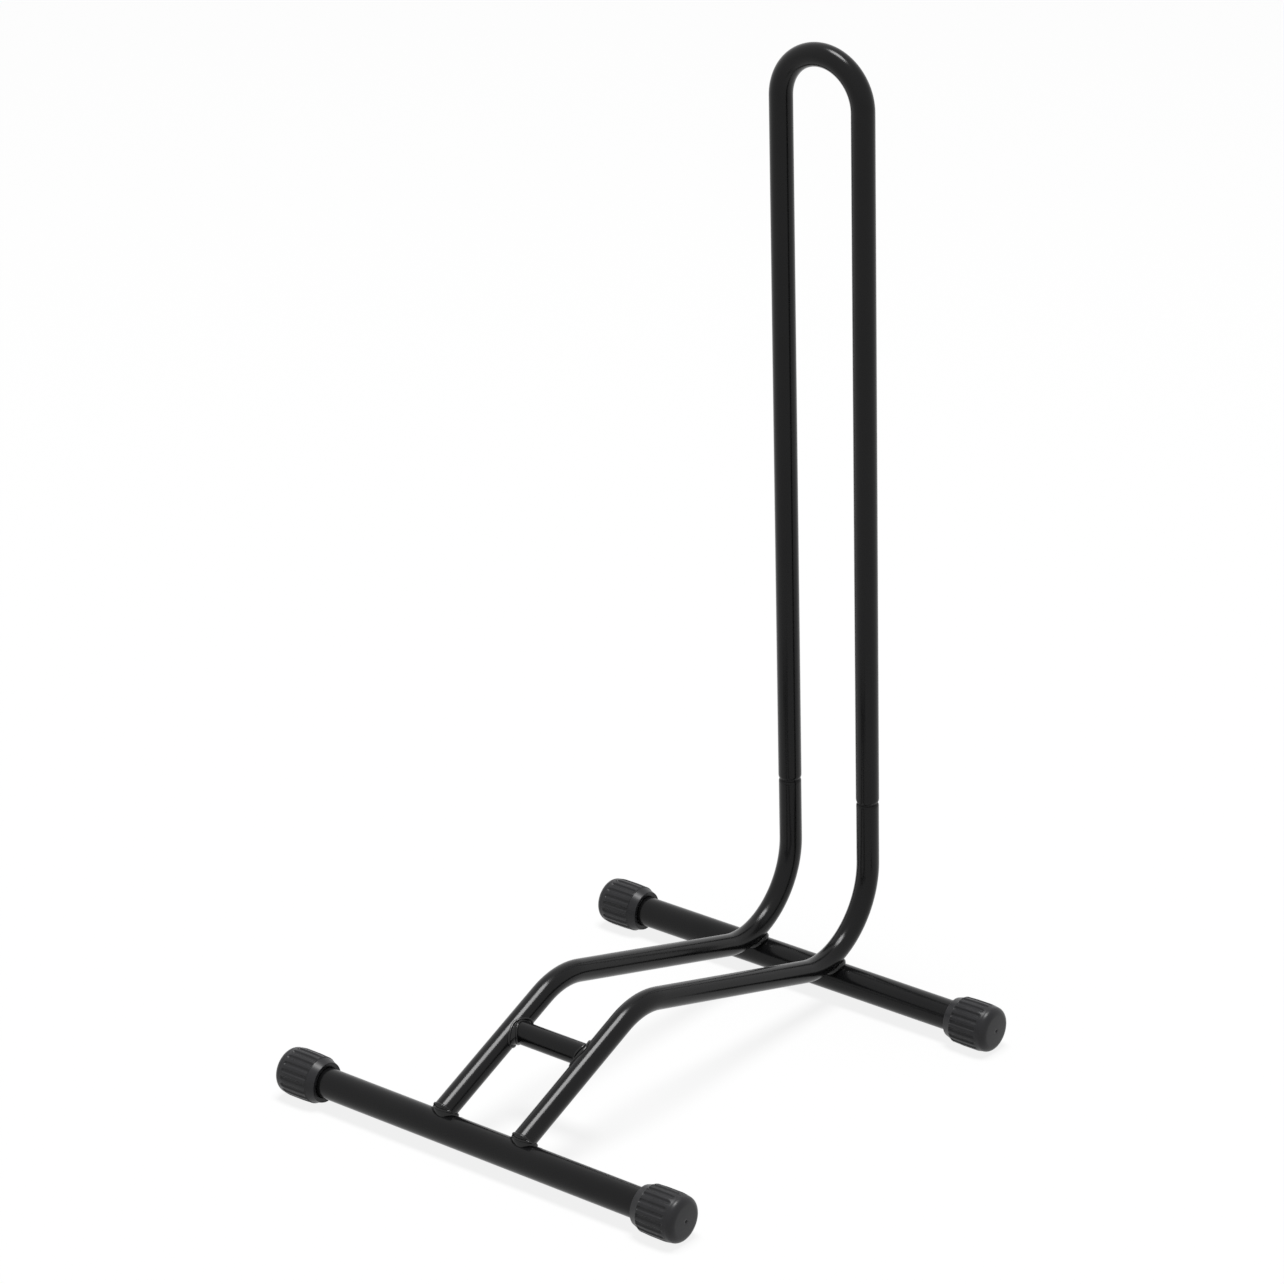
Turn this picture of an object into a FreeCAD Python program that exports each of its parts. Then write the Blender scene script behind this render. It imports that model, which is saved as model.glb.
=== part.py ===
import FreeCAD, Part
import math
import os

from FreeCAD import Rotation, Vector

# Floor stand for one bicycle wheel. Two bent rails run from a front cross tube over a rear
# cross tube and turn up into two legs. A tall hoop slips over the legs. The wheel rolls in
# between the rails from the front (-Y) and leans in the hoop.
# X runs across the stand, +Y to the hoop, +Z up. The origin is on the floor, in the middle
# of the footprint. Millimetres.

# ---- driving dimensions -------------------------------------------------------------------

# tube stock
RAIL_OD = 19.05
RAIL_WALL = 1.5
TIE_OD = 19.05
TIE_WALL = 1.5
HOOP_OD = 19.5
HOOP_WALL = 1.2
CROSS_OD = 25.4
CROSS_WALL = 1.5

# layout of the frame
RAIL_SPACING = 81.0
CROSS_LENGTH = 399.0
CROSS_DISTANCE = 411.0
CLIMB_ANGLE = 24.4
CLIMB_OFFSET = 12.5
CREST_DISTANCE = 146.5
CREST_BEND_RADIUS = 70.0
FALL_ANGLE = 14.8
HEEL_BEND_RADIUS = 69.4
LEG_LEAN = 2.2
LEG_HEIGHT = 166.5
TIE_DISTANCE = 88.6
TIE_DROP = 1.5
HOOP_STRAIGHT = 600.5
BEND_STEP = 12.0
BORE_STEP = 18.0

# slip joint between leg and hoop
SPIGOT_LENGTH = 45.0
SPIGOT_WALL = 1.4
SPIGOT_CLEARANCE = 0.05
SPIGOT_LEAD = 2.0
SWAGE_LENGTH = 8.0
SHOULDER_DROP = 1.5
SEAT_WIDTH = 0.45
RIM_HEIGHT = 1.4

# end caps
CAP_OD = 40.0
CAP_LENGTH = 42.0
CAP_FIT = 0.05
CAP_FLOOR = 5.0
CAP_COLLAR_LENGTH = 7.3
CAP_COLLAR_STEP = 1.4
CAP_SHOULDER_STEP = 0.6
CAP_CORNER_RADIUS = 6.5
CAP_CORNER_SLOPES = 4
FLUTE_COUNT = 20
FLUTE_DEPTH = 1.0
FLUTE_END = 8.5
FLUTE_PHASE_FRONT = 7.0
FLUTE_PHASE_REAR = -1.5
DIMPLE_OD = 2.6
DIMPLE_DEPTH = 1.2

# welds
WELD_LEG = 3.4
WELD_GAP = 0.1
WELD_FLARE = 6.0
WELD_SIDES = 24
RAIL_END_LAP = 0.8

# ---- worked out from the dimensions above --------------------------------------------------

RAIL_R = RAIL_OD / 2
RAIL_BORE_R = RAIL_R - RAIL_WALL
TIE_R = TIE_OD / 2
HOOP_R = HOOP_OD / 2
HOOP_BORE_R = HOOP_R - HOOP_WALL
CROSS_R = CROSS_OD / 2
CAP_R = CAP_OD / 2
HALF_SPACING = RAIL_SPACING / 2
SPIGOT_R = HOOP_BORE_R - SPIGOT_CLEARANCE
SPIGOT_BORE_R = SPIGOT_R - SPIGOT_WALL
SEAT_R = HOOP_BORE_R + SEAT_WIDTH

# In the upright plane of a rail, a point or a direction is a pair: (towards +Y, up).
CLIMB = math.radians(CLIMB_ANGLE)
FALL = math.radians(FALL_ANGLE)
LEAN = math.radians(LEG_LEAN)
CLIMB_DIRECTION = (math.cos(CLIMB), math.sin(CLIMB))
FALL_DIRECTION = (math.cos(FALL), -math.sin(FALL))
FALL_UP = (math.sin(FALL), math.cos(FALL))
LEG_DIRECTION = (-math.sin(LEAN), math.cos(LEAN))
LEG_BACK = (math.cos(LEAN), math.sin(LEAN))


def along(point, direction, distance):
    """The point that lies a distance away, in the plane of a rail."""
    return (point[0] + direction[0] * distance, point[1] + direction[1] * distance)


# The front tube lies at y = 0 in this plane, at the height that its caps give it.
FRONT_AXIS = (0.0, CAP_R)
REAR_AXIS = (CROSS_DISTANCE, CAP_R)

# The climbing run passes a little above the front tube's axis.
CLIMB_FOOT = (0.0, CAP_R + CLIMB_OFFSET)
RAIL_START = along(CLIMB_FOOT, CLIMB_DIRECTION, -RAIL_END_LAP)
CREST_CORNER = along(CLIMB_FOOT, CLIMB_DIRECTION, CREST_DISTANCE / CLIMB_DIRECTION[0])
CREST_TANGENT = CREST_BEND_RADIUS * math.tan((CLIMB + FALL) / 2)
CREST_IN = along(CREST_CORNER, CLIMB_DIRECTION, -CREST_TANGENT)
CREST_OUT = along(CREST_CORNER, FALL_DIRECTION, CREST_TANGENT)


def find_heel_centre():
    """Slide the heel bend down the falling run until its outside meets the rear tube."""
    reach = HEEL_BEND_RADIUS + RAIL_R + CROSS_R + WELD_GAP
    start = along(CREST_CORNER, FALL_UP, HEEL_BEND_RADIUS)
    to_tube = (REAR_AXIS[0] - start[0], REAR_AXIS[1] - start[1])
    ahead = to_tube[0] * FALL_DIRECTION[0] + to_tube[1] * FALL_DIRECTION[1]
    aside = to_tube[0] * FALL_UP[0] + to_tube[1] * FALL_UP[1]
    return along(start, FALL_DIRECTION, ahead - math.sqrt(reach ** 2 - aside ** 2))


HEEL_CENTRE = find_heel_centre()
HEEL_IN = along(HEEL_CENTRE, FALL_UP, -HEEL_BEND_RADIUS)
HEEL_OUT = along(HEEL_CENTRE, LEG_BACK, HEEL_BEND_RADIUS)
LEG_TOP = along(HEEL_OUT, LEG_DIRECTION, (LEG_HEIGHT - HEEL_OUT[1]) / LEG_DIRECTION[1])

# The footprint runs from the front caps to the back of the heel bends.
FRONT_EDGE = -CAP_R
BACK_EDGE = HEEL_CENTRE[0] + HEEL_BEND_RADIUS + RAIL_R
Y_SHIFT = -(FRONT_EDGE + BACK_EDGE) / 2

TIE_HEIGHT = CLIMB_FOOT[1] + TIE_DISTANCE * math.tan(CLIMB) - TIE_DROP
TIE_AXIS = (TIE_DISTANCE, TIE_HEIGHT)


def place(x, point):
    """A point of the plane at x, as a point of the stand."""
    return Vector(x, point[0] + Y_SHIFT, point[1])


def towards(direction):
    """A direction of the plane, as a direction of the stand."""
    return Vector(0, direction[0], direction[1])


# ---- general shapes -----------------------------------------------------------------------

def round_section(point, direction, level, radius):
    """A round section square to a direction. level is a direction across it, where it starts."""
    circle = Part.Circle(point, direction, radius)
    circle.XAxis = level
    return Part.Wire(circle.toShape())


def bar_through(stations, level, radius):
    """A solid round bar through stations, which are pairs of a point and a direction."""
    sections = [round_section(point, direction, level, radius) for point, direction in stations]
    return Part.makeLoft(sections, True, True)


def bend_stations(centre, start, direction, axis, degrees, step):
    """Stations through a bend, after its first point. It turns about an axis through the centre."""
    count = math.ceil(degrees / step)
    stations = []
    for index in range(1, count + 1):
        turn = Rotation(axis, degrees * index / count)
        stations.append((centre + turn.multVec(start - centre), turn.multVec(direction)))
    return stations


def cross_bar(axis, radius, start_x, end_x):
    """A solid round bar along X."""
    return Part.makeCylinder(radius, end_x - start_x, place(start_x, axis), Vector(1, 0, 0))


def turned(profile, origin, axis):
    """A turned solid: the profile is a face with its axis on Z, moved to an origin and axis."""
    solid = profile.revolve(Vector(0, 0, 0), Vector(0, 0, 1), 360)
    solid.Placement = FreeCAD.Placement(origin, Rotation(Vector(0, 0, 1), axis))
    return solid


def profile_face(steps):
    """A closed face in the XZ plane, from steps of (radius, height)."""
    corners = [Vector(radius, 0, height) for radius, height in steps]
    return Part.Face(Part.makePolygon(corners + [corners[0]]))


def rolled_in(outer_r, outer_h, seat_r, seat_h):
    """The point between a tube's side and its seat where the rolled edge turns in faster."""
    return (outer_r - 0.3 * (outer_r - seat_r), outer_h + 0.7 * (seat_h - outer_h))


# ---- rails ----------------------------------------------------------------------------------

def rail_bar(x, top, radius, step):
    """A rail as a solid bar, from its lower end to a point on its leg."""
    crest_centre = along(CREST_IN, (CLIMB_DIRECTION[1], -CLIMB_DIRECTION[0]), CREST_BEND_RADIUS)
    crest_start, up_hill = place(x, CREST_IN), towards(CLIMB_DIRECTION)
    crest_degrees = CLIMB_ANGLE + FALL_ANGLE
    crest = bend_stations(place(x, crest_centre), crest_start, up_hill, Vector(-1, 0, 0), crest_degrees, step)
    heel_start, down_hill = place(x, HEEL_IN), towards(FALL_DIRECTION)
    heel_degrees = 90 + FALL_ANGLE + LEG_LEAN
    heel = bend_stations(place(x, HEEL_CENTRE), heel_start, down_hill, Vector(1, 0, 0), heel_degrees, step)
    lower = [(place(x, RAIL_START), up_hill), (crest_start, up_hill)]
    upper = [(place(x, top), towards(LEG_DIRECTION))]
    return bar_through(lower + crest + [(heel_start, down_hill)] + heel + upper, Vector(1, 0, 0), radius)


def swaged_end(x):
    """The top of a leg: the tube is drawn in to a spigot, and the hoop sits on the shoulder."""
    profile = profile_face([
        (RAIL_BORE_R, -SWAGE_LENGTH),
        (RAIL_R, -SWAGE_LENGTH),
        (RAIL_R, -SHOULDER_DROP),
        rolled_in(RAIL_R, -SHOULDER_DROP, SEAT_R, 0),
        (SEAT_R, 0),
        (SPIGOT_R, 0),
        (SPIGOT_R, SPIGOT_LENGTH - SPIGOT_LEAD),
        (SPIGOT_R - SPIGOT_LEAD / 2, SPIGOT_LENGTH),
        (SPIGOT_BORE_R, SPIGOT_LENGTH),
        (SPIGOT_BORE_R, 0),
    ])
    return turned(profile, place(x, LEG_TOP), towards(LEG_DIRECTION))


def rail(x):
    """One bent rail, coped to the front tube at its lower end, with its spigot on top."""
    leg_end = along(LEG_TOP, LEG_DIRECTION, -SWAGE_LENGTH)
    tube = rail_bar(x, leg_end, RAIL_R, BEND_STEP).cut(rail_bar(x, leg_end, RAIL_BORE_R, BORE_STEP))
    cope = cross_bar(FRONT_AXIS, CROSS_R + WELD_GAP, x - RAIL_OD, x + RAIL_OD)
    return tube.cut(cope).fuse(swaged_end(x)).removeSplitter()


def climb_bar(x, extra):
    """The climbing run as a solid bar, grown by an extra radius."""
    start = place(x, RAIL_START)
    length = (place(x, CREST_IN) - start).Length
    return Part.makeCylinder(RAIL_R + extra, length, start, towards(CLIMB_DIRECTION))


# ---- cross tubes and tie ----------------------------------------------------------------------

def cross_tube(axis):
    """A cross tube, open at both ends, which stop inside the caps."""
    half = CROSS_LENGTH / 2
    return cross_bar(axis, CROSS_R, -half, half).cut(cross_bar(axis, CROSS_R - CROSS_WALL, -half, half))


def tie_tube():
    """The short tube between the climbing runs, coped to the rails at both ends."""
    tube = cross_bar(TIE_AXIS, TIE_R, -HALF_SPACING, HALF_SPACING)
    tube = tube.cut(cross_bar(TIE_AXIS, TIE_R - TIE_WALL, -HALF_SPACING, HALF_SPACING))
    for x in (-HALF_SPACING, HALF_SPACING):
        tube = tube.cut(climb_bar(x, WELD_GAP))
    return tube


# ---- hoop -------------------------------------------------------------------------------------

def hoop():
    """The inverted U. It is drawn upright over the origin and then leant over the leg tops."""
    rim_top = SWAGE_LENGTH
    up, level = Vector(0, 0, 1), Vector(0, 1, 0)
    left_top = Vector(-HALF_SPACING, 0, HOOP_STRAIGHT)

    def hoop_bar(radius, step):
        left = [(Vector(-HALF_SPACING, 0, rim_top), up), (left_top, up)]
        crown = bend_stations(Vector(0, 0, HOOP_STRAIGHT), left_top, up, level, 180, step)
        return bar_through(left + crown + [(Vector(HALF_SPACING, 0, rim_top), -up)], level, radius)

    tube = hoop_bar(HOOP_R, BEND_STEP).cut(hoop_bar(HOOP_BORE_R, BORE_STEP))
    rim = profile_face([
        (HOOP_BORE_R, rim_top),
        (HOOP_R, rim_top),
        (HOOP_R, RIM_HEIGHT),
        rolled_in(HOOP_R, RIM_HEIGHT, SEAT_R, 0),
        (SEAT_R, 0),
        (HOOP_BORE_R, 0),
    ])
    for x in (-HALF_SPACING, HALF_SPACING):
        tube = tube.fuse(turned(rim, Vector(x, 0, 0), Vector(0, 0, 1)))
    tube = tube.removeSplitter()
    tube.rotate(Vector(0, 0, 0), Vector(1, 0, 0), LEG_LEAN)
    tube.translate(place(0, LEG_TOP))
    return tube


# ---- end caps ---------------------------------------------------------------------------------

def cap_ring(radius, height, dip, degrees):
    """A closed outline round a cap: the ribs and the strips between them are flats. dip sinks a strip."""
    rib = 180 / FLUTE_COUNT
    corners = []
    for index in range(FLUTE_COUNT):
        middle = degrees + index * 2 * rib
        strip = [(middle - rib / 2, radius), (middle + rib / 2, radius)]
        if dip > 0:
            strip = [strip[0], (strip[0][0], radius - dip), (strip[1][0], radius - dip), strip[1]]
        for angle, reach in strip:
            turn = math.radians(angle)
            corners.append(Vector(reach * math.cos(turn), reach * math.sin(turn), height))
    return Part.makePolygon(corners + [corners[0]])


def cap_end(degrees):
    """The closed end beyond the flutes: a slight slope and then a round corner in a few short slopes."""
    corner_r = CAP_R - CAP_SHOULDER_STEP - CAP_CORNER_RADIUS
    corner_h = CAP_LENGTH - CAP_CORNER_RADIUS
    levels = [(CAP_R, CAP_LENGTH - FLUTE_END)]
    for index in range(CAP_CORNER_SLOPES + 1):
        angle = index * math.pi / 2 / CAP_CORNER_SLOPES
        reach = corner_r + CAP_CORNER_RADIUS * math.cos(angle)
        levels.append((reach, corner_h + CAP_CORNER_RADIUS * math.sin(angle)))
    rings = [cap_ring(radius, height, 0, degrees).Vertexes[:-1] for radius, height in levels]
    return flat_sided(rings)


def flat_sided(rings):
    """A solid with flat sides through rings of as many corners, closed by a flat face at each end."""
    def flat(corners):
        points = [corner.Point for corner in corners]
        return Part.Face(Part.makePolygon(points + [points[0]]))

    faces = [flat(rings[0]), flat(rings[-1])]
    for low, high in zip(rings, rings[1:]):
        for index in range(len(low)):
            after = (index + 1) % len(low)
            faces.append(flat([low[index], low[after], high[after], high[index]]))
    return Part.Solid(Part.Shell(faces))


def end_cap(axis, side, phase):
    """One ribbed cap on the end of a cross tube. side is -1 for left and 1 for right."""
    # It stands on its mouth. Local X becomes the front of the stand, so the phase is the angle
    # above the front.
    degrees = -side * phase
    ribbed_length = CAP_LENGTH - FLUTE_END - CAP_COLLAR_LENGTH
    ribbed = Part.Face(cap_ring(CAP_R, CAP_COLLAR_LENGTH, FLUTE_DEPTH, degrees))
    cap = Part.makeCylinder(CAP_R - CAP_COLLAR_STEP, CAP_COLLAR_LENGTH)
    cap = cap.fuse([ribbed.extrude(Vector(0, 0, ribbed_length)), cap_end(degrees)])
    cap = cap.cut(Part.makeCylinder(CROSS_R + CAP_FIT, CAP_LENGTH - CAP_FLOOR))
    dimple = Part.makeCylinder(DIMPLE_OD / 2, 2 * DIMPLE_DEPTH, Vector(0, 0, CAP_LENGTH - DIMPLE_DEPTH))
    cap = cap.cut(dimple)
    closed_end = side * (CROSS_LENGTH / 2 + CAP_FLOOR)
    mouth = closed_end - side * CAP_LENGTH
    turn = Rotation(Vector(0, -1, 0), Vector(0, 0, -side), Vector(side, 0, 0), "ZXY")
    cap.Placement = FreeCAD.Placement(place(mouth, axis), turn)
    return cap


# ---- welds ------------------------------------------------------------------------------------

def front_weld(x):
    """The bead that closes a rail's lower end and runs out on top of the front tube."""
    beyond = WELD_LEG + CROSS_R / 2
    behind = place(x, along(RAIL_START, CLIMB_DIRECTION, WELD_LEG / 2))
    ahead = along(RAIL_START, CLIMB_DIRECTION, -beyond)
    climb_up = (-CLIMB_DIRECTION[1], CLIMB_DIRECTION[0])
    half_height = WELD_FLARE + WELD_GAP
    foot = place(x, along(ahead, climb_up, -half_height))
    upper_r = RAIL_R + WELD_LEG / 4
    lower, upper = [], []
    for index in range(WELD_SIDES + 1):
        angle = 2 * math.pi * index / WELD_SIDES
        wide, high = Vector(math.cos(angle), 0, 0), towards(climb_up) * math.sin(angle)
        lower.append(foot + wide * (RAIL_R + WELD_FLARE) + high * half_height)
        upper.append(behind + (wide + high) * upper_r)
    run_out = Part.makeLoft([Part.makePolygon(lower), Part.makePolygon(upper)], True, True)
    near_tube = cross_bar(FRONT_AXIS, CROSS_R + WELD_LEG, x - 2 * RAIL_OD, x + 2 * RAIL_OD)
    collar = climb_bar(x, WELD_LEG).common(near_tube)
    bead = run_out.fuse(collar)
    bead = bead.cut(climb_bar(x, 0))
    return bead.cut(cross_bar(FRONT_AXIS, CROSS_R, x - 2 * RAIL_OD, x + 2 * RAIL_OD))


def tie_weld(side):
    """The bead round one end of the tie tube."""
    x = side * HALF_SPACING
    face_x = x - side * RAIL_R
    inner = Part.makeCylinder(TIE_R + WELD_LEG, RAIL_R, place(face_x, TIE_AXIS), Vector(side, 0, 0))
    slope = Part.makeCone(TIE_R + WELD_LEG, TIE_R, WELD_LEG, place(face_x, TIE_AXIS), Vector(-side, 0, 0))
    bead = inner.fuse(slope).removeSplitter()
    bead = bead.cut(cross_bar(TIE_AXIS, TIE_R, min(0, x), max(0, x)))
    return bead.cut(climb_bar(x, 0)).common(climb_bar(x, WELD_LEG))


def rear_weld(x):
    """The bead between the outside of a heel bend and the rear tube."""
    # Where the two touch, the bend runs square to the line between their centres.
    outwards = place(x, REAR_AXIS) - place(x, HEEL_CENTRE)
    outwards.normalize()
    middle = place(x, HEEL_CENTRE) + outwards * HEEL_BEND_RADIUS
    run = outwards.cross(Vector(1, 0, 0))

    def heel_bar(extra):
        return Part.makeCylinder(RAIL_R + extra, 2 * CROSS_OD, middle - run * CROSS_OD, run)

    start_x, end_x = x - 2 * RAIL_OD, x + 2 * RAIL_OD
    bead = heel_bar(WELD_LEG).common(cross_bar(REAR_AXIS, CROSS_R + WELD_LEG, start_x, end_x))
    return bead.cut(heel_bar(0)).cut(cross_bar(REAR_AXIS, CROSS_R, start_x, end_x))


# ---- assembly ---------------------------------------------------------------------------------

def build_parts():
    """Every sub-part of the stand, by name."""
    parts = {
        "front_cross_tube": cross_tube(FRONT_AXIS),
        "rear_cross_tube": cross_tube(REAR_AXIS),
        "tie_tube": tie_tube(),
        "hoop": hoop(),
    }
    for name, side in (("left", -1), ("right", 1)):
        x = side * HALF_SPACING
        parts[name + "_rail"] = rail(x)
        parts["front_" + name + "_cap"] = end_cap(FRONT_AXIS, side, FLUTE_PHASE_FRONT)
        parts["rear_" + name + "_cap"] = end_cap(REAR_AXIS, side, FLUTE_PHASE_REAR)
        parts["weld_front_" + name] = front_weld(x)
        parts["weld_tie_" + name] = tie_weld(side)
        parts["weld_rear_" + name] = rear_weld(x)
    return parts


os.makedirs("parts", exist_ok=True)
for part_name, shape in build_parts().items():
    shape.exportStep("parts/" + part_name + ".step")
    box = shape.BoundBox
    print(
        f"{part_name}: {len(shape.Solids)} solid, {shape.Volume:.0f} mm3, valid {shape.isValid()}, "
        f"x {box.XMin:.2f}..{box.XMax:.2f}, y {box.YMin:.2f}..{box.YMax:.2f}, z {box.ZMin:.2f}..{box.ZMax:.2f}"
    )
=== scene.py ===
# %% [markdown]
# # A floor stand for one bicycle wheel
#
# This file dresses a finished CAD model for its picture. The real stand is bent from steel tube, welded,
# coated in semi-gloss black, and closed at its four ends by ribbed plastic caps. A tall hoop slips over
# its two legs. The CAD model gives every place and size. What it lacks is finish: rolled rims, rippled
# weld beads, soft ribs, and materials that take the light as paint and plastic do.

# %% Load the CAD frame
import math

import bmesh
import bpy
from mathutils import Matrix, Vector


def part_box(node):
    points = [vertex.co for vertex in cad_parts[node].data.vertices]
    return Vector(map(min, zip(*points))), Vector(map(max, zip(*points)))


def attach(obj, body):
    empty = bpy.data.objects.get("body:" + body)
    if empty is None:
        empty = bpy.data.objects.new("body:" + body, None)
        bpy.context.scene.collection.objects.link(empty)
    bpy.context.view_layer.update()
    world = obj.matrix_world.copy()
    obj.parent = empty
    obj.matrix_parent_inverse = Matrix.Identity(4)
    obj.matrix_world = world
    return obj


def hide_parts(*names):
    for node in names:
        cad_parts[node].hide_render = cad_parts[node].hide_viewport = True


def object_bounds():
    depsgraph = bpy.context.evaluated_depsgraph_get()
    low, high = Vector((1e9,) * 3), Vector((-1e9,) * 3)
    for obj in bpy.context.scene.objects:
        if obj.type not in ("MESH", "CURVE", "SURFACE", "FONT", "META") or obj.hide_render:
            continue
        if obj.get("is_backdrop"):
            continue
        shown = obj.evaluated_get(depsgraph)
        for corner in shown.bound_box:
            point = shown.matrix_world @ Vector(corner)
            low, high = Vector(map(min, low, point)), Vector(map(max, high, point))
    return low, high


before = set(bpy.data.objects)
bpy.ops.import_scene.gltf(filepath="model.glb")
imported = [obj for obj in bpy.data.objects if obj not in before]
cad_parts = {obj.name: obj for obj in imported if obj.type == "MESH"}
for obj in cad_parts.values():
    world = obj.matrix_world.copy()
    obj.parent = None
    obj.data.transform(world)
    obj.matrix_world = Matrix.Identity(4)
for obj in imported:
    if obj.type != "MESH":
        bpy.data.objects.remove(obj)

CAD_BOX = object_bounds()
print("CAD box:", [round(v, 4) for corner in CAD_BOX for v in corner])

# %% [markdown]
# ## Where the tubes run
#
# A tube's line can be drawn by hand, but a tube bender doesn't work that way: it feeds a straight length,
# bends round a former, feeds the next length. Writing the route down the same way keeps the straight runs
# straight and the bends round. The places come from boxes of the CAD nodes, and only the bending sizes
# are written here, so the dressed tubes lie exactly where the CAD tubes lie.

# %% Sizes of the tube stock and of the bends, in metres and radians
RAIL_RADIUS = 0.01905 / 2
RAIL_WALL = 0.0015
HOOP_WALL = 0.0012
CROSS_WALL = 0.0015
CLIMB = math.radians(24.4)
FALL = math.radians(14.8)
LEAN = math.radians(2.2)
CLIMB_OFFSET = 0.0125
CREST_DISTANCE = 0.1465
CREST_BEND_RADIUS = 0.070
HEEL_BEND_RADIUS = 0.0694
LEG_HEIGHT = 0.1665
RAIL_END_LAP = 0.0008
MELTED_BACK = 0.0027
SPIGOT_LENGTH = 0.045
print(f"rail tube: {2 * RAIL_RADIUS:.5f} m across, wall {RAIL_WALL} m")

# %% Places read from the frame


def axis_of(node):
    """The (y, z) of a tube that lies along X, and its radius and half length."""
    low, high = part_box(node)
    return ((low.y + high.y) / 2, (low.z + high.z) / 2), (high.z - low.z) / 2, (high.x - low.x) / 2


FRONT_AXIS, CROSS_RADIUS, CROSS_HALF = axis_of("front_cross_tube")
REAR_AXIS = axis_of("rear_cross_tube")[0]
TIE_AXIS, TIE_RADIUS, TIE_HALF = axis_of("tie_tube")
RAIL_LOW, RAIL_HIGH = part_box("right_rail")
RAIL_X = (RAIL_LOW.x + RAIL_HIGH.x) / 2
HOOP_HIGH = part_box("hoop")[1]
HOOP_RADIUS = HOOP_HIGH.x - RAIL_X
print(f"rails at x = +-{RAIL_X:.4f}, hoop tube {2 * HOOP_RADIUS:.5f} m, cross tubes {2 * CROSS_RADIUS:.5f} m")

# %% The corners of a rail's route, in its own upright plane (y, z)
ACROSS = Vector((1, 0, 0))
CLIMB_DIR = Vector((0, math.cos(CLIMB), math.sin(CLIMB)))
CLIMB_UP = Vector((0, -math.sin(CLIMB), math.cos(CLIMB)))
FALL_DIR = Vector((0, math.cos(FALL), -math.sin(FALL)))
FALL_UP = Vector((0, math.sin(FALL), math.cos(FALL)))
LEG_DIR = Vector((0, -math.sin(LEAN), math.cos(LEAN)))
LEG_BACK = Vector((0, math.cos(LEAN), math.sin(LEAN)))

climb_foot = Vector((0, FRONT_AXIS[0], FRONT_AXIS[1] + CLIMB_OFFSET))
rail_start = climb_foot - CLIMB_DIR * RAIL_END_LAP
crest_corner = climb_foot + CLIMB_DIR * (CREST_DISTANCE / CLIMB_DIR.y)
crest_tangent = CREST_BEND_RADIUS * math.tan((CLIMB + FALL) / 2)
heel_y = RAIL_HIGH.y - RAIL_RADIUS - HEEL_BEND_RADIUS
heel_line = crest_corner + FALL_UP * HEEL_BEND_RADIUS
heel_centre = heel_line + FALL_DIR * ((heel_y - heel_line.y) / FALL_DIR.y)
heel_in = heel_centre - FALL_UP * HEEL_BEND_RADIUS
heel_out = heel_centre + LEG_BACK * HEEL_BEND_RADIUS
leg_top = heel_out + LEG_DIR * ((LEG_HEIGHT - heel_out.z) / LEG_DIR.z)

CLIMB_RUN = (crest_corner - rail_start).length - crest_tangent
FALL_RUN = (heel_in - crest_corner).length - crest_tangent
LEG_RUN = (leg_top - heel_out).length
print(f"bender's card: {CLIMB_RUN:.4f} / bend {math.degrees(CLIMB + FALL):.1f} / {FALL_RUN:.4f} / "
      f"bend {90 + math.degrees(FALL + LEAN):.1f} / {LEG_RUN:.4f}")

# %% A route made of straight runs and bends
DEGREES_PER_RING = 2.5
LEAST_BEND_RINGS = 4
STRAIGHT_RINGS = 3


class TubeRoute:
    """A centre line, written as a tube bender feeds it. Bends turn about one fixed axis."""

    def __init__(self, start, heading, bend_axis):
        self.bend_axis = bend_axis.normalized()
        self.end, self.heading = start.copy(), heading.normalized()
        self.pieces = []
        self.length = 0.0

    def straight(self, length):
        self.pieces.append((self.length, length, self.end.copy(), self.heading.copy(), None))
        self.end += self.heading * length
        self.length += length
        return self

    def bend(self, radius, angle):
        """angle is in radians, and turns the heading about the bend axis."""
        length = radius * abs(angle)
        turn = math.copysign(1 / radius, angle)
        self.pieces.append((self.length, length, self.end.copy(), self.heading.copy(), turn))
        self.length += length
        self.end, self.heading = self.at(self.length)
        return self

    def at(self, distance):
        """The point and the heading at a distance from the start."""
        for first, length, start, heading, turn in self.pieces:
            if distance <= first + length + 1e-9:
                break
        step = distance - first
        if turn is None:
            return start + heading * step, heading
        side = self.bend_axis.cross(heading)
        angle = step * turn
        point = start + (heading * math.sin(angle) + side * (1 - math.cos(angle))) / turn
        return point, heading * math.cos(angle) + side * math.sin(angle)

    def stations(self):
        """Distances at which the skin needs a ring: close together in bends, few on straight runs."""
        found = [0.0]
        for first, length, _, _, turn in self.pieces:
            count = STRAIGHT_RINGS
            if turn is not None:
                count = max(LEAST_BEND_RINGS, round(math.degrees(length * abs(turn)) / DEGREES_PER_RING))
            found += [first + length * (k + 1) / count for k in range(count)]
        return found


print(f"a ring every {DEGREES_PER_RING} degrees in bends")

# %% [markdown]
# ## Skinning a tube
#
# Blender's curve objects can be given a round bevel, which is the quickest tube there is. It can't roll
# in at the rim, though, or have an inside. So each tube here is a stack of rings that bmesh joins with
# quads: the rings run along the outside, turn in at the rim, and come back along the bore. Where the
# surface turns sharply, two rings lie close together, so that smooth shading keeps the edge crisp.

# %% Rings and skins
RING_COUNT = 72


def put(name, data):
    """An object with the given data, in the scene."""
    made = bpy.data.objects.new(name, data)
    bpy.context.scene.collection.objects.link(made)
    return made


def put_mesh(name, bm):
    """A bmesh as an object. The bmesh is used up."""
    mesh = bpy.data.meshes.new(name)
    bm.to_mesh(mesh)
    bm.free()
    return put(name, mesh)


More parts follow.
